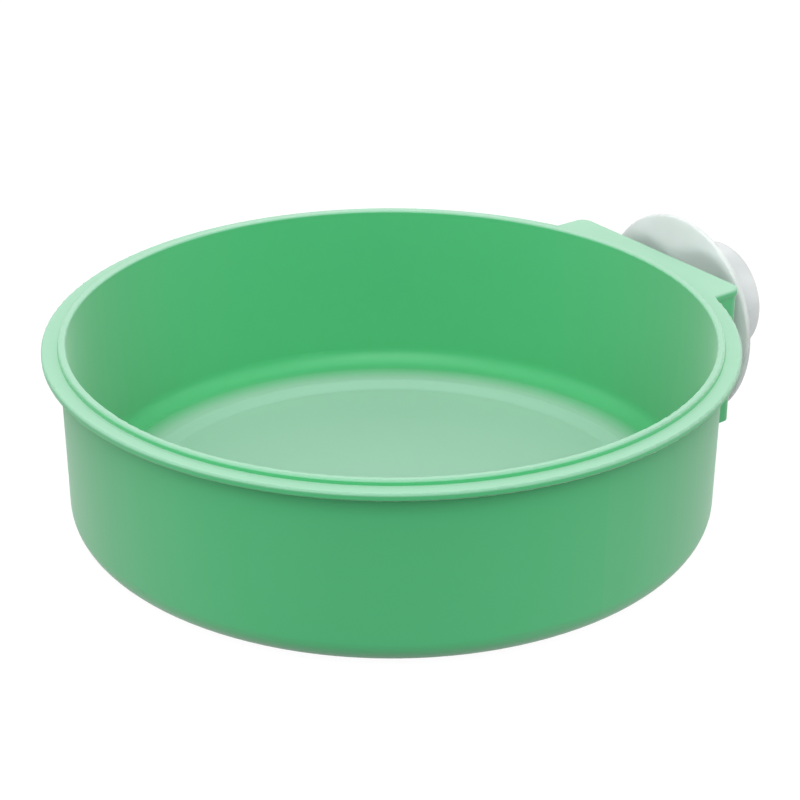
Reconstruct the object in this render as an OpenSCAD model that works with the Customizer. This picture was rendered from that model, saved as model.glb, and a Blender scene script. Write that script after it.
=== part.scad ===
// Pet bowl with a rear bracket that hangs it on the wires of a crate or cage.
// The bowl, its rim and the bracket are one moulding. A nut on a threaded stud
// behind the bracket clamps the wires: its flat disc presses them on the back
// plate, and a three-lobed grip behind the disc turns it.
// The bowl stands on its foot at z = 0, its axis is Z and the bracket faces +Y.

/* [Bowl] */
// Diameter over the rim flange
rim_d = 160; // [140:1:190]
// Height of the top of the rim flange above the ground
rim_z = 45.4; // [38:0.2:60]
// Thickness of the bowl wall
wall_t = 1.7; // [1.4:0.1:2.4]
// Lean of the wall, outwards to the top, in degrees
wall_draft = 0.95; // [0.5:0.05:4]
// Radius of the outer corner under the bowl
corner_out_r = 5.9; // [4:0.1:9]
// Radius of the inner corner between the wall and the floor
corner_in_r = 4.2; // [3:0.1:6]
// Thickness of the floor
floor_t = 2; // [1.5:0.1:3]

/* [Foot] */
// Diameter of the flat disc that the bowl stands on
foot_d = 120.6; // [90:0.2:124]
// Drop of the foot disc below the ring of floor round it
foot_step = 1.8; // [1:0.1:2.5]
// Width of the smooth slope round the foot disc
step_w = 3.3; // [2.5:0.1:6]

/* [Rim] */
// Reach of the flange outside the wall
flange_w = 3.85; // [3:0.05:6]
// Thickness of the flange and of the bracket's top plate
flange_t = 1.75; // [1.4:0.05:2.5]
// Radius on the edges of the flange
flange_edge_r = 0.5; // [0.3:0.05:0.65]
// Rise of the lip above the flange
lip_rise = 1.15; // [1:0.05:2.5]
// Radius on the edges of the lip
lip_edge_r = 0.45; // [0.2:0.05:0.6]

/* [Bracket] */
// Width of the bracket's top plate
bracket_w = 58.2; // [50:0.2:76]
// Reach of the top plate behind the rim flange
bracket_behind_rim = 3.5; // [1:0.1:12]
// Radius of the bracket's rear corners
bracket_corner_r = 3; // [2.6:0.1:6]
// Thickness of the bracket's side walls and back plate
bracket_wall = 1.8; // [1.4:0.1:2.2]
// Inset of the side walls and back plate under the top plate
bracket_inset = 0.4; // [0.1:0.1:0.6]
// Height of the bracket's lower edge above the ground
bracket_lift = 10.3; // [8:0.1:16]

/* [Stud] */
// Diameter over the thread's crests
stud_d = 18; // [14:0.5:22]
// Length of the stud behind the back plate
stud_len = 14.4; // [12:0.1:24]
// Height of the stud's axis above the ground
stud_z = 26.45; // [26.4:0.05:32]
// Distance from one thread crest to the next
thread_pitch = 4.5; // [3:0.5:6]
// Depth of the thread
thread_depth = 1.1; // [0.8:0.1:1.6]

/* [Knob] */
// Free gap for the cage wires between the back plate and the knob
knob_gap = 6.3; // [3:0.1:8]
// Diameter of the flat disc that presses on the wires
disc_d = 52.4; // [50:0.2:52.4]
// Thickness of the disc
disc_t = 1.4; // [1.2:0.1:2]
// Radius on the disc's edges
disc_edge_r = 0.4; // [0.2:0.05:0.5]
// Depth of the knob from the disc's front to the rear of the grip
knob_t = 6.6; // [5:0.1:9]
// Radius of each lobe of the grip
lobe_r = 13.9; // [13:0.1:15]
// Distance from the knob's axis to the centre of each lobe
lobe_offset = 11.7; // [9:0.1:12]
// Radius of the notches between the lobes
notch_r = 4; // [2:0.5:6]
// Turn of the first lobe from upright, in degrees
knob_turn = 52.6; // [-90:0.1:90]
// Thickness of the grip's wall
knob_wall = 1.6; // [1.4:0.1:2.2]
// Thickness of the hub's wall round the bore
hub_wall = 2.4; // [1.8:0.1:3]
// Thickness of the ribs inside the grip
rib_t = 1.2; // [1:0.1:2]
// Radial clearance of the bore on the thread's crests
bore_clear = 0.06; // [0.02:0.01:0.1]

/* [Hidden] */
$fn = 144;
corner_fn = 64;
cut = 1;
lobes = 3;
grip_fn = 72;
green = [0.50, 0.80, 0.62];
milky_white = [0.86, 0.90, 0.89];

rim_r = rim_d / 2;
wall_top_r = rim_r - flange_w;
inner_top_r = wall_top_r - wall_t;
foot_r = foot_d / 2;
ring_floor_z = foot_step + floor_t;
lip_z = rim_z + lip_rise;
bracket_reach = rim_r + bracket_behind_rim;
step_points = 10;

// A corner of radius r between a level floor and the leaning wall: where its centre lies
function corner_z(r, floor_z) = floor_z + r;
function corner_x(r, floor_z, top_r) =
    top_r - (r + (rim_z - corner_z(r, floor_z)) * sin(wall_draft)) / cos(wall_draft);

// The corner and the wall above it: floor end of the arc, wall end of the arc, top of the wall
function corner_and_wall(r, floor_z, top_r) = [
    [corner_x(r, floor_z, top_r), floor_z],
    [corner_x(r, floor_z, top_r) + r * cos(wall_draft), corner_z(r, floor_z) - r * sin(wall_draft)],
    [top_r, rim_z]
];

// The smooth slope from the foot disc up to the ring of floor, starting at height z0
function foot_slope(z0) = [
    for (i = [0:step_points])
        [foot_r + step_w * i / step_points, z0 + foot_step * (1 - cos(180 * i / step_points)) / 2]
];

module corner_arc(r, floor_z, top_r) {
    translate([corner_x(r, floor_z, top_r), corner_z(r, floor_z)])
        circle(r = r, $fn = corner_fn);
}

// A level strip from the axis out to radius r, from z0 to z1, with its outer edges rounded
module rounded_strip(r, z0, z1, edge_r) {
    translate([0, z0])
        square([r - edge_r, z1 - z0]);
    translate([0, z0 + edge_r])
        square([r, z1 - z0 - 2 * edge_r]);
    for (z = [z0 + edge_r, z1 - edge_r])
        translate([r - edge_r, z])
            circle(r = edge_r, $fn = corner_fn);
}

// What a rounded edge takes away round a hole of radius r whose rim lies at height z
module edge_flare(r, z, edge_r) {
    translate([0, z - edge_r])
        difference() {
            square([r + edge_r, edge_r + cut]);
            translate([r + edge_r, 0])
                circle(r = edge_r, $fn = corner_fn);
        }
}

// Half section of the bowl as if it were solid
module outer_section() {
    polygon(concat([[0, 0]], foot_slope(0), corner_and_wall(corner_out_r, foot_step, wall_top_r),
                   [[0, rim_z]]));
    corner_arc(corner_out_r, foot_step, wall_top_r);
    rounded_strip(rim_r, rim_z - flange_t, rim_z, flange_edge_r);
    rounded_strip(wall_top_r, rim_z - flange_t / 2, lip_z, lip_edge_r);
}

// Half section of the space inside the bowl
module inner_section() {
    polygon(concat([[0, floor_t]], foot_slope(floor_t),
                   corner_and_wall(corner_in_r, ring_floor_z, inner_top_r),
                   [[inner_top_r, lip_z + cut], [0, lip_z + cut]]));
    corner_arc(corner_in_r, ring_floor_z, inner_top_r);
    edge_flare(inner_top_r, lip_z, lip_edge_r);
}

// Plan of the bracket's box from the bowl's axis to its back, inset from the top plate
module bracket_plan(inset) {
    half_w = bracket_w / 2 - inset;
    reach = bracket_reach - inset;
    r = max(bracket_corner_r - inset, flange_edge_r);
    translate([-half_w, 0])
        square([2 * half_w, reach - r]);
    translate([r - half_w, 0])
        square([2 * (half_w - r), reach]);
    for (side = [-1, 1])
        translate([side * (half_w - r), reach - r])
            circle(r = r, $fn = corner_fn);
}

// Top plate level with the flange, with the same rounded edges at its sides, rear and corners
module top_plate() {
    side_len = bracket_reach - bracket_corner_r;
    rear_half_w = bracket_w / 2 - bracket_corner_r;
    under_z = rim_z - flange_t;
    for (side = [0, 1])
        mirror([side, 0, 0]) {
            translate([0, side_len, 0])
                rotate([90, 0, 0])
                    linear_extrude(height = side_len)
                        rounded_strip(bracket_w / 2, under_z, rim_z, flange_edge_r);
            translate([rear_half_w, side_len, 0])
                rotate_extrude()
                    rounded_strip(bracket_corner_r, under_z, rim_z, flange_edge_r);
        }
    translate([-rear_half_w, 0, 0])
        rotate([90, 0, 90])
            linear_extrude(height = 2 * rear_half_w)
                rounded_strip(bracket_reach, under_z, rim_z, flange_edge_r);
}

// The top plate, and under it a box that is open below
module bracket() {
    top_plate();
    difference() {
        translate([0, 0, bracket_lift])
            linear_extrude(height = rim_z - flange_t / 2 - bracket_lift)
                bracket_plan(bracket_inset);
        translate([0, 0, bracket_lift - cut])
            linear_extrude(height = rim_z - flange_t - bracket_lift + cut)
                bracket_plan(bracket_inset + bracket_wall);
    }
}

// Radius of the thread's section: root, flank, crest and flank once round
thread_points = 24;
thread_slices = 16;
stud_r = stud_d / 2;
root_r = stud_r - thread_depth;
stud_tip = 1.6;
core_gap = 0.4;
function thread_rise(share) =
    share < 0.3 ? 0 :
    share < 0.5 ? (share - 0.3) / 0.2 :
    share < 0.8 ? 1 :
    (1 - share) / 0.2;

// Right-handed thread along Z with a plain tip
module stud() {
    back_z = bracket_reach - bracket_inset;
    seat = bracket_wall / 2;
    thread_len = stud_len - stud_tip + seat;
    turns = thread_len / thread_pitch;
    translate([0, back_z, stud_z])
        rotate([-90, 0, 0]) {
            translate([0, 0, -seat])
                linear_extrude(height = thread_len, twist = -360 * turns,
                               slices = ceil(thread_slices * turns), $fn = thread_points)
                    polygon([
                        for (i = [0:thread_points - 1])
                            let (a = 360 * i / thread_points)
                            let (r = root_r + thread_depth * thread_rise(i / thread_points))
                            [r * cos(a), r * sin(a)]
                    ]);
            translate([0, 0, -seat])
                cylinder(r = root_r - core_gap, h = stud_len + seat);
        }
}

// The whole green moulding
module bowl() {
    color(green)
        union() {
            difference() {
                union() {
                    rotate_extrude()
                        outer_section();
                    bracket();
                }
                rotate_extrude()
                    inner_section();
            }
            stud();
        }
}

bore_r = stud_r + bore_clear;
hub_r = bore_r + hub_wall;

// Places its children in each lobe's direction, at a distance from the axis
module each_lobe(distance, turn) {
    for (i = [0:lobes - 1])
        rotate([0, 0, knob_turn - 90 + turn + i * 360 / lobes])
            translate([distance, 0])
                children();
}

// Outline of the grip drawn in by inset, with rounded notches between its lobes
module grip_outline(inset) {
    offset(r = -notch_r - inset)
        offset(r = notch_r)
            each_lobe(lobe_offset, 0)
                circle(r = lobe_r);
}

// Wall, hub and ribs of the grip
module grip_plan() {
    difference() {
        grip_outline(0);
        grip_outline(knob_wall);
    }
    circle(r = hub_r);
    intersection() {
        grip_outline(knob_wall / 2);
        for (turn = [0, 180 / lobes])
            each_lobe(0, turn)
                translate([0, -rib_t / 2])
                    square([lobe_r + lobe_offset, rib_t]);
    }
}

// Clamping nut: flat disc, and behind it a hollow three-lobed grip with a ribbed hub
module knob() {
    color(milky_white)
        translate([0, bracket_reach - bracket_inset + knob_gap, stud_z])
            rotate([-90, 0, 0])
                difference() {
                    union() {
                        rotate_extrude()
                            rounded_strip(disc_d / 2, 0, disc_t, disc_edge_r);
                        translate([0, 0, disc_t / 2])
                            linear_extrude(height = knob_t - disc_t / 2)
                                grip_plan($fn = grip_fn);
                    }
                    translate([0, 0, -cut])
                        cylinder(r = bore_r, h = knob_t + 2 * cut);
                }
}

bowl();
knob();
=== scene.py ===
# %% [markdown]
# # A clamp-on pet bowl in satin plastic
#
# The bowl hangs on the wires of a cage. One green moulding is the bowl, its rim and a bracket with
# a threaded stud. A milky white nut turns on that stud: a flat disc that presses on the wires, and
# behind it a hollow grip with three lobes. This lesson dresses the two solids with their plastics,
# lights them softly and puts the camera where a catalogue photographer would stand.
#
# The solids come from the frame, in metres, with the bowl's foot on z = 0 and the bracket
# towards +Y.

import math

import bpy
from mathutils import Matrix, Vector

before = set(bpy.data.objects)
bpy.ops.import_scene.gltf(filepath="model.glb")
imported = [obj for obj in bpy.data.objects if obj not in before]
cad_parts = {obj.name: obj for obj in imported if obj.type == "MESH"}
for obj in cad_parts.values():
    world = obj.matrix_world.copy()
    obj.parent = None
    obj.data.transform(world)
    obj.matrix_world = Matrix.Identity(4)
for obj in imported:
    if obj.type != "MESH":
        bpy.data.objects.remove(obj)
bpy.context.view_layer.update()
scene = bpy.context.scene

# %% [markdown]
# ## Camera
#
# A product shot from half a metre away shows some perspective, so the camera's distance matters as
# much as its direction. We give both as plain numbers: how far the camera stands from the bowl's
# axis, its height, and the bearing of the bracket, which points away from it and to the right. An
# aim that misses the axis by a fraction of a degree is part of the picture's framing.
# The camera's own axes are built from the line of sight, and become the columns of its matrix.

# %% Place the camera
CAMERA_REACH = 0.48609
CAMERA_HEIGHT = 0.26097
BRACKET_BEARING = math.radians(53.49)
LOOK_DOWN = 0.447
LOOK_RIGHT = 0.004
CAMERA_ROLL = 0.003
SENSOR_WIDTH = 36.0
IMAGE_SIDE = 800
FOCAL_PIXELS = 2309.9
NEAREST_SEEN = 0.01

right_axis = Vector((math.cos(BRACKET_BEARING), math.sin(BRACKET_BEARING), 0))
away_axis = Vector((-math.sin(BRACKET_BEARING), math.cos(BRACKET_BEARING), 0))
up_axis = Vector((0, 0, 1))


def place_camera():
    sight = (
        math.sin(LOOK_RIGHT) * math.cos(LOOK_DOWN) * right_axis
        + math.cos(LOOK_RIGHT) * math.cos(LOOK_DOWN) * away_axis
        - math.sin(LOOK_DOWN) * up_axis
    )
    level = sight.cross(up_axis).normalized()
    upright = level.cross(sight)
    side = math.cos(CAMERA_ROLL) * level + math.sin(CAMERA_ROLL) * upright
    top = math.cos(CAMERA_ROLL) * upright - math.sin(CAMERA_ROLL) * level
    data = bpy.data.cameras.new("product_camera")
    data.sensor_width = SENSOR_WIDTH
    data.lens = SENSOR_WIDTH * FOCAL_PIXELS / IMAGE_SIDE
    data.clip_start = NEAREST_SEEN
    camera = bpy.data.objects.new("product_camera", data)
    place = -CAMERA_REACH * away_axis + CAMERA_HEIGHT * up_axis
    camera.matrix_world = Matrix.Translation(place) @ Matrix((side, top, -sight)).transposed().to_4x4()
    scene.collection.objects.link(camera)
    scene.camera = camera
    return camera


camera = place_camera()
scene.view_settings.view_transform = "Standard"
print("camera at", [round(v, 4) for v in camera.location], "lens", round(camera.data.lens, 1), "mm")

# %% [markdown]
# ## Small helpers for nodes
#
# Shader nodes are added and wired in the same way again and again, so four short functions do it.
# The first adds a node and fills in its sockets by name, and the second joins two sockets. The
# other two are for numbers that change over a surface: a Math node, and a ramp from one value to
# another, which is a Map Range node with its ends clamped.

# %% Node helpers
def add_node(tree, kind, values=None, **settings):
    node = tree.nodes.new(kind)
    for name, value in settings.items():
        setattr(node, name, value)
    for socket, value in (values or {}).items():
        node.inputs[socket].default_value = value
    return node


def join(tree, output, socket):
    tree.links.new(output, socket)


def work_out(tree, operation, *terms):
    """The result of a Math node, whose terms are outputs of other nodes or plain numbers."""
    node = add_node(tree, "ShaderNodeMath", operation=operation)
    for socket, term in zip(node.inputs, terms):
        if isinstance(term, bpy.types.NodeSocket):
            join(tree, term, socket)
        else:
            socket.default_value = term
    return node.outputs[0]


def ramp(tree, value, start, end, low=0.0, high=1.0):
    """low where value is at start, high where it is at end, and a straight line between them."""
    ends = {"From Min": start, "From Max": end, "To Min": low, "To Max": high}
    node = add_node(tree, "ShaderNodeMapRange", ends)
    join(tree, value, node.inputs["Value"])
    return node.outputs["Result"]


print("helpers for nodes are ready: add_node, join, work_out and ramp")

# %% [markdown]
# ## Backdrop and floor
#
# The bowl stands on a white sweep. Its white comes from the material and not from more light: a
# Light Path node tells camera rays, and the rays that glossy and clear surfaces send out, to see
# plain white in the world and near white on the floor, while diffuse light comes from a softer
# grey. Under that white the floor is a dark matte sheet: it keeps the object's shadow, faintly,
# and throws little light back up at the wall.

# %% World and floor
WHITE = (1.0, 1.0, 1.0, 1.0)
WORLD_LIGHT = 0.20
FLOOR_SIDE = 6.0
FLOOR_GREY = 0.10
FLOOR_LIFT = 0.95


def seen_directly(tree):
    """1 for camera, glossy and transmitted rays, 0 for the rest."""
    path = add_node(tree, "ShaderNodeLightPath")
    seen = work_out(tree, "MAXIMUM", path.outputs["Is Camera Ray"], path.outputs["Is Glossy Ray"])
    return work_out(tree, "MAXIMUM", seen, path.outputs["Is Transmission Ray"])


def make_world():
    world = bpy.data.worlds.new("white_sweep")
    world.use_nodes = True
    scene.world = world
    tree = world.node_tree
    tree.nodes.clear()
    background = add_node(tree, "ShaderNodeBackground", {"Color": WHITE})
    strength = ramp(tree, seen_directly(tree), 0.0, 1.0, low=WORLD_LIGHT)
    join(tree, strength, background.inputs["Strength"])
    output = add_node(tree, "ShaderNodeOutputWorld")
    join(tree, background.outputs["Background"], output.inputs["Surface"])


def make_floor():
    bpy.ops.mesh.primitive_plane_add(size=FLOOR_SIDE, location=(0, 0, 0))
    floor = bpy.context.object
    floor.name = "white_floor"
    material = bpy.data.materials.new("matte_white_sweep")
    material.use_nodes = True
    tree = material.node_tree
    tree.nodes.clear()
    paint = add_node(tree, "ShaderNodeBsdfDiffuse", {"Color": (FLOOR_GREY, FLOOR_GREY, FLOOR_GREY, 1)})
    lift = add_node(tree, "ShaderNodeEmission", {"Color": WHITE})
    strength = work_out(tree, "MULTIPLY", seen_directly(tree), FLOOR_LIFT)
    join(tree, strength, lift.inputs["Strength"])
    both = add_node(tree, "ShaderNodeAddShader")
    join(tree, paint.outputs[0], both.inputs[0])
    join(tree, lift.outputs[0], both.inputs[1])
    output = add_node(tree, "ShaderNodeOutputMaterial")
    join(tree, both.outputs[0], output.inputs["Surface"])
    floor.data.materials.append(material)
    return floor


make_world()
floor = make_floor()
print("floor", floor.dimensions.x, "m square, world light", WORLD_LIGHT)

# %% [markdown]
# ## Lights
#
# The main light is a high softbox in front, above the camera, which reaches over the near rim down
# to the far wall. A second one hangs overhead for the level faces, and a third behind lights the
# bracket and the nut from the back; it leaves the foot of the far wall in a soft shade. The last
# two stand low at the left and right, where they lighten the sides of the curved wall.
#
# Reach is the distance from the bowl's axis. It is in metres, as the height and the side of the
# softbox are, and the power is in watts.

# %% Softboxes
SOFTBOXES = {
    "softbox_front": {"bearing": 180, "reach": 1.3, "height": 1.05, "side": 1.2, "power": 20.5},
    "softbox_overhead": {"bearing": 0, "reach": 0.05, "height": 1.6, "side": 1.4, "power": 10.0},
    "softbox_left": {"bearing": 97, "reach": 1.5, "height": 0.5, "side": 1.0, "power": 9.5},
    "softbox_right": {"bearing": -97, "reach": 1.5, "height": 0.5, "side": 1.0, "power": 9.0},
    "softbox_behind": {"bearing": 0, "reach": 1.3, "height": 1.0, "side": 1.2, "power": 9.0},
}


def hang_softbox(name, bearing, reach, height, side, power):
    """bearing turns from straight behind the bowl towards the camera's left, in degrees."""
    turn = math.radians(bearing)
    spot = reach * (math.cos(turn) * away_axis - math.sin(turn) * right_axis) + height * up_axis
    data = bpy.data.lights.new(name, "AREA")
    data.shape = "SQUARE"
    data.size = side
    data.energy = power
    lamp = bpy.data.objects.new(name, data)
    lamp.location = spot
    lamp.rotation_euler = (-spot).to_track_quat("-Z", "Y").to_euler()
    scene.collection.objects.link(lamp)
    return lamp


lamps = [hang_softbox(name, **box) for name, box in SOFTBOXES.items()]
print("lamps:", [(lamp.name, lamp.data.energy) for lamp in lamps])

# %% [markdown]
# ## The moulded surface
#
# Both plastics come out of polished steel moulds that are never quite even: the surface swells
# and sinks by a hair over centimetres, has a fine grain, and its gloss varies a little. One node
# group makes these three effects for both materials, each with its own values. The group puts
# out a height and a roughness, and the material decides how to use them.

# %% Moulded surface group
SURFACE_SOCKETS = {
    "Swell Scale": 30.0,
    "Grain Scale": 2500.0,
    "Grain Share": 0.2,
    "Gloss Scale": 45.0,
    "Roughness": 0.35,
    "Gloss Spread": 0.05,
}
NOISE_DETAIL = {"Swell Scale": 1.0, "Grain Scale": 2.0, "Gloss Scale": 3.0}
NOISE_MIDDLE = 0.5


def make_moulded_surface():
    group = bpy.data.node_groups.new("moulded_surface", "ShaderNodeTree")
    for name, value in SURFACE_SOCKETS.items():
        socket = group.interface.new_socket(name, in_out="INPUT", socket_type="NodeSocketFloat")
        socket.default_value = value
    for name in ("Height", "Roughness"):
        group.interface.new_socket(name, in_out="OUTPUT", socket_type="NodeSocketFloat")
    given = add_node(group, "NodeGroupInput")
    result = add_node(group, "NodeGroupOutput")
    place = add_node(group, "ShaderNodeTexCoord")

    noises = []
    for scale, detail in NOISE_DETAIL.items():
        noise = add_node(group, "ShaderNodeTexNoise", {"Detail": detail})
        join(group, place.outputs["Object"], noise.inputs["Vector"])
        join(group, given.outputs[scale], noise.inputs["Scale"])
        noises.append(noise.outputs["Fac"])
    swell, grain, gloss = noises

    height = add_node(group, "ShaderNodeMix", data_type="FLOAT")
    join(group, given.outputs["Grain Share"], height.inputs["Factor"])
    join(group, swell, height.inputs["A"])
    join(group, grain, height.inputs["B"])
    join(group, height.outputs["Result"], result.inputs["Height"])

    centred = work_out(group, "SUBTRACT", gloss, NOISE_MIDDLE)
    spread, middle = given.outputs["Gloss Spread"], given.outputs["Roughness"]
    join(group, work_out(group, "MULTIPLY_ADD", centred, spread, middle), result.inputs["Roughness"])
    return group


moulded_surface = make_moulded_surface()
print("group", moulded_surface.name, "with", len(moulded_surface.nodes), "nodes")

# %% [markdown]
# ## Where the bowl is grained, with painted sheen
#
# The mould's walls are polished, so that the bowl slides out. Its level faces (floor, flange,
# lip and top plate) are left with a fine blasted grain, which makes them duller, and they get a
# paler colour, which is painted sheen: the white haze that light lays on these level faces.
#
# The slope of the surface could tell these faces apart, but on small rounded edges the shading
# normals give such a mask a ragged border. So this mask goes by place. On the floor the grain and
# the painted sheen fade out with the distance from the bowl's axis. At the rim they come with the
# height above the foot, once on the flange and again on the lip, and the upright side between the
# two stays polished and unpainted. All these places are in metres. A last number says how much of
# the full grain and painted sheen the rim shows.

# %% Grain and painted sheen mask group
# Where the grain and the painted sheen lie, in metres.
FLOOR_GRAIN_PAINTED_SHEEN_ENDS = 0.0700
FLOOR_GRAIN_PAINTED_SHEEN_FULL = 0.0645
PAST_LIP = 0.0763
FLANGE_GRAIN_PAINTED_SHEEN_STARTS = 0.0447
FLANGE_GRAIN_PAINTED_SHEEN_FULL = 0.0452
LIP_GRAIN_PAINTED_SHEEN_STARTS = 0.0460
LIP_GRAIN_PAINTED_SHEEN_FULL = 0.0464
RIM_GRAIN_PAINTED_SHEEN = 0.72


def distance_from_axis(group, spot):
    level_spot = add_node(group, "ShaderNodeCombineXYZ")
    join(group, spot.outputs["X"], level_spot.inputs["X"])
    join(group, spot.outputs["Y"], level_spot.inputs["Y"])
    distance = add_node(group, "ShaderNodeVectorMath", operation="LENGTH")
    join(group, level_spot.outputs[0], distance.inputs[0])
    return distance.outputs["Value"]


# The mask for the grain's roughness and for the painted sheen on the level faces.
def make_painted_sheen_and_grain_mask():
    group = bpy.data.node_groups.new("painted_sheen_and_grain_faces", "ShaderNodeTree")
    group.interface.new_socket("Mask", in_out="OUTPUT", socket_type="NodeSocketFloat")
    result = add_node(group, "NodeGroupOutput")
    place = add_node(group, "ShaderNodeTexCoord")
    spot = add_node(group, "ShaderNodeSeparateXYZ")
    join(group, place.outputs["Object"], spot.inputs[0])
    radius = distance_from_axis(group, spot)
    height = spot.outputs["Z"]

    on_floor = ramp(group, radius, FLOOR_GRAIN_PAINTED_SHEEN_ENDS, FLOOR_GRAIN_PAINTED_SHEEN_FULL)
    past_lip = work_out(group, "GREATER_THAN", radius, PAST_LIP)
    up_flange = ramp(group, height, FLANGE_GRAIN_PAINTED_SHEEN_STARTS, FLANGE_GRAIN_PAINTED_SHEEN_FULL, high=RIM_GRAIN_PAINTED_SHEEN)
    on_flange = work_out(group, "MULTIPLY", past_lip, up_flange)
    on_lip = ramp(group, height, LIP_GRAIN_PAINTED_SHEEN_STARTS, LIP_GRAIN_PAINTED_SHEEN_FULL, high=RIM_GRAIN_PAINTED_SHEEN)
    on_rim = work_out(group, "MAXIMUM", on_flange, on_lip)
    join(group, work_out(group, "MAXIMUM", on_floor, on_rim), result.inputs["Mask"])
    return group


painted_sheen_and_grain_faces = make_painted_sheen_and_grain_mask()
print("group", painted_sheen_and_grain_faces.name, "with", len(painted_sheen_and_grain_faces.nodes), "nodes")

# %% [markdown]
# ## A moulded plastic
#
# Both pieces are polypropylene. Each could be one flat colour, but a plastic clouds a little as
# it flows into the mould, so two close colours are mixed by a slow noise. The moulded surface
# gives the roughness and a very shallow bump. Values that are the same all over, such as the
# index of refraction, go straight on the shader.
#
# Blasted grain scatters some white light before the pigment colours it. Here that light is
# painted: on grained faces a paler colour is mixed in as painted sheen, and the roughness goes up.

# %% Plastic helpers
CLOUD_DETAIL = 3.0
PLASTIC_IOR = 1.49


def mix_painted_sheen_and_grain(tree, colour, roughness, painted_sheen_colour, duller):
    """The colour and the roughness, with painted sheen and more roughness on the level faces."""
    mask = add_node(tree, "ShaderNodeGroup", node_tree=painted_sheen_and_grain_faces).outputs["Mask"]
    # A paler colour on the level faces: painted sheen.
    faces = add_node(tree, "ShaderNodeMix", {"B": painted_sheen_colour}, data_type="RGBA")
    join(tree, mask, faces.inputs["Factor"])
    join(tree, colour, faces.inputs["A"])
    return faces.outputs["Result"], work_out(tree, "MULTIPLY_ADD", mask, duller, roughness)


def make_plastic(name, deep, light, cloud_scale, surface, dents, plain, grain_and_painted_sheen=None):
    """surface, dents and plain hold socket values; the last holds the painted sheen colour and more
    roughness.
    """
    material = bpy.data.materials.new(name)
    material.use_nodes = True
    tree = material.node_tree
    tree.nodes.clear()
    output = add_node(tree, "ShaderNodeOutputMaterial")
    shader = add_node(tree, "ShaderNodeBsdfPrincipled", plain)
    join(tree, shader.outputs["BSDF"], output.inputs["Surface"])

    place = add_node(tree, "ShaderNodeTexCoord")
    clouds = add_node(tree, "ShaderNodeTexNoise", {"Scale": cloud_scale, "Detail": CLOUD_DETAIL})
    join(tree, place.outputs["Object"], clouds.inputs["Vector"])
    tint = add_node(tree, "ShaderNodeMix", {"A": deep, "B": light}, data_type="RGBA")
    join(tree, clouds.outputs["Fac"], tint.inputs["Factor"])

    skin = add_node(tree, "ShaderNodeGroup", node_tree=moulded_surface)
    for socket, value in surface.items():
        skin.inputs[socket].default_value = value
    bump = add_node(tree, "ShaderNodeBump", dents)
    join(tree, skin.outputs["Height"], bump.inputs["Height"])
    join(tree, bump.outputs["Normal"], shader.inputs["Normal"])

    colour, roughness = tint.outputs["Result"], skin.outputs["Roughness"]
    if grain_and_painted_sheen:
        colour, roughness = mix_painted_sheen_and_grain(tree, colour, roughness, **grain_and_painted_sheen)
    join(tree, colour, shader.inputs["Base Color"])
    join(tree, roughness, shader.inputs["Roughness"])
    return material


print("index of refraction of both plastics:", PLASTIC_IOR)

# %% [markdown]
# ## Green plastic
#
# The bowl is a mint green. A mirror polish would show the softboxes as sharp patches of light,
# but the real walls have a satin gloss, so the roughness is middling. A little sheen, as from
# fine scratches, turns the sides of the wall pale, where they are seen at a low angle.

# %% Green plastic
GREEN_DEEP = (0.050, 0.420, 0.152, 1.0)
GREEN_LIGHT = (0.062, 0.450, 0.170, 1.0)
# A paler green for the level faces: painted sheen.
GREEN_PAINTED_SHEEN = (0.295, 0.535, 0.395, 1.0)

green_plastic = make_plastic(
    "green_plastic", GREEN_DEEP, GREEN_LIGHT, cloud_scale=18.0,
    surface={"Swell Scale": 25.0, "Grain Scale": 2200.0, "Grain Share": 0.15,
             "Roughness": 0.50, "Gloss Spread": 0.05},
    dents={"Distance": 0.0004, "Strength": 0.25},
    plain={"IOR": PLASTIC_IOR, "Sheen Weight": 0.4, "Sheen Roughness": 0.5},
    # Painted sheen on the level faces, and 0.12 more roughness for their grain.
    grain_and_painted_sheen={"painted_sheen_colour": GREEN_PAINTED_SHEEN, "duller": 0.12},
)
print("material", green_plastic.name, "with", len(green_plastic.node_tree.nodes), "nodes")

# %% [markdown]
# ## Milky plastic
#
# The nut is the same plastic without pigment. It lets some light in and scatters it, which gives
# soft edges and a cool grey-white body, so this material uses subsurface scattering over about a
# centimetre. Its two close greys are easier to judge on a screen, so a helper turns the screen's
# numbers, 0 to 255, into the linear light that shaders use.

# %% Milky plastic
def srgb(red, green, blue):
    linear = [
        (v / 255 / 12.92) if v / 255 <= 0.04045 else ((v / 255 + 0.055) / 1.055) ** 2.4
        for v in (red, green, blue)
    ]
    return (*linear, 1.0)


MILKY_DEEP = srgb(203, 212, 212)
MILKY_LIGHT = srgb(210, 218, 218)

milky_plastic = make_plastic(
    "milky_plastic", MILKY_DEEP, MILKY_LIGHT, cloud_scale=40.0,
    surface={"Swell Scale": 60.0, "Grain Scale": 2500.0, "Grain Share": 0.15,
             "Roughness": 0.38, "Gloss Spread": 0.06},
    dents={"Distance": 0.0003, "Strength": 0.25},
    plain={"IOR": PLASTIC_IOR, "Subsurface Weight": 1.0,
           "Subsurface Radius": (1.0, 1.0, 1.0), "Subsurface Scale": 0.010},
)
print("material", milky_plastic.name, "from", [round(v, 3) for v in MILKY_DEEP])

# %% [markdown]
# ## Dress the two solids
#
# The solids already have the right shape, so they stay and only get their plastic.

# %% Give each solid its plastic
FINISHES = {
    "bowl": (green_plastic, "green_plastic"),
    "knob": (milky_plastic, "milky_plastic"),
}


def dress(node, material):
    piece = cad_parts[node]
    piece.data.materials.clear()
    piece.data.materials.append(material)
    return piece


for node, (material, slot) in FINISHES.items():
    piece = dress(node, material)
    print(node, "has", len(piece.data.polygons), "faces in", material.name)
